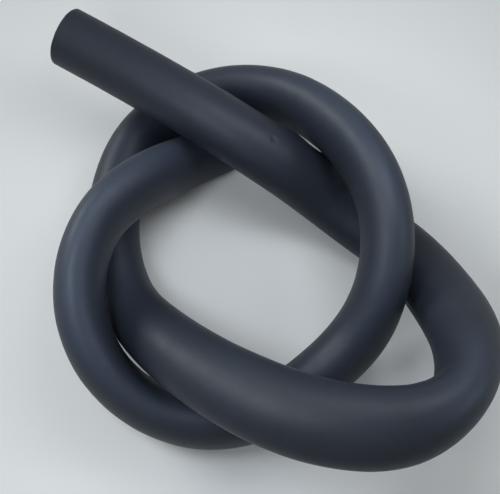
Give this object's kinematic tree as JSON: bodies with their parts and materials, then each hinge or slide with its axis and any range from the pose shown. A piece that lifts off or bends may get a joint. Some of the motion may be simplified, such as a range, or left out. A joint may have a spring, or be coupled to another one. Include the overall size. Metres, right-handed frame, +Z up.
{
  "type": "foam tube",
  "caption": "Length of soft closed-cell foam tube with a round bore and plain cut ends, tied in one loose overhand knot and lying on the floor.",
  "frame": {"origin": "on the floor, under the middle of the knot's bounding box", "axes": "+Z up from the floor; the free end of the tube points along -X and rises a little; the knot lies in the XY plane"},
  "size_m": [0.2302, 0.1748, 0.0807],
  "materials": {
    "foam": "matt blue-grey foam skin"
  },
  "bodies": {
    "root": {"foam_tube": "foam"}
  },
  "joints": []
}
